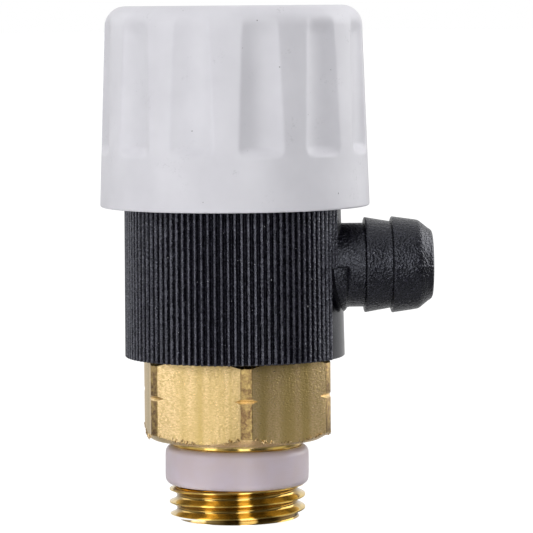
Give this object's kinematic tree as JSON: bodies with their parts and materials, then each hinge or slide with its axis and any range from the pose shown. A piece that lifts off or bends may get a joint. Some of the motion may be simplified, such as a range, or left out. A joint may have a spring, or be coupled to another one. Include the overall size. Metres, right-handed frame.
{
  "type": "automatic air vent",
  "caption": "Float-type automatic air vent with threaded brass nipple, swivelling hose-tail housing and a fluted hand shut-off cap.",
  "frame": {"origin": "centre of the nipple's open end, on the axis of the thread", "axes": "+Z along the vent's axis from the nipple to the cap, +X along the hose tail"},
  "size_m": [0.039, 0.0316, 0.0605],
  "materials": {
    "brass": "machined",
    "nylon": "translucent satin",
    "black_plastic": "spark-eroded satin",
    "white_plastic": "satin",
    "rubber": "matt",
    "steel": "brushed",
    "float_plastic": "satin"
  },
  "bodies": {
    "valve": {"valve_body": "brass", "seal_ring": "nylon", "inlet_strainer": "steel", "bonnet": "brass", "bonnet_gasket": "rubber", "vent_seat": "brass", "lever_pin": "steel", "lower_oring": "rubber", "upper_oring": "rubber", "retaining_clip": "steel", "glide_washer": "float_plastic"},
    "swivel": {"swivel_housing": "black_plastic"},
    "stopper": {"disc_holder": "brass", "shutoff_disc": "rubber", "holder_clip": "steel"},
    "cap": {"hand_cap": "white_plastic", "cap_spindle": "brass", "spindle_oring": "rubber", "cap_screw": "steel", "cap_cover": "white_plastic"},
    "float": {"float_shell": "float_plastic", "float_lid": "float_plastic", "float_link": "steel"},
    "lever": {"float_lever": "steel"},
    "needle": {"needle": "steel", "needle_tip": "rubber"}
  },
  "joints": [
    {"name": "hose_swivel", "type": "hinge", "parent": "valve", "child": "swivel", "pos_m": [0, 0, 0.03], "axis": [0, 0, 1], "continuous": true},
    {"name": "cap_lift", "type": "slide", "parent": "valve", "child": "stopper", "axis": [0, 0, 1], "range_m": [0, 0.0015]},
    {"name": "cap_turn", "type": "hinge", "parent": "stopper", "child": "cap", "pos_m": [0, 0, 0.05], "axis": [0, 0, 1], "range_deg": [0, 360]},
    {"name": "float_rise", "type": "slide", "parent": "valve", "child": "float", "axis": [0, 0, 1], "range_m": [0, 0.0024]},
    {"name": "lever_tilt", "type": "hinge", "parent": "valve", "child": "lever", "pos_m": [-0.004, 0, 0.0295], "axis": [0, -1, 0], "range_deg": [0, 17.2]},
    {"name": "needle_lift", "type": "slide", "parent": "valve", "child": "needle", "axis": [0, 0, 1], "range_m": [0, 0.0012]}
  ],
  "couplings": [
    {"joint": "cap_lift", "follows": "cap_turn", "m_per_rad": 0.00023873},
    {"joint": "lever_tilt", "follows": "float_rise", "rad_per_m": 125},
    {"joint": "needle_lift", "follows": "float_rise", "ratio": 0.5}
  ]
}
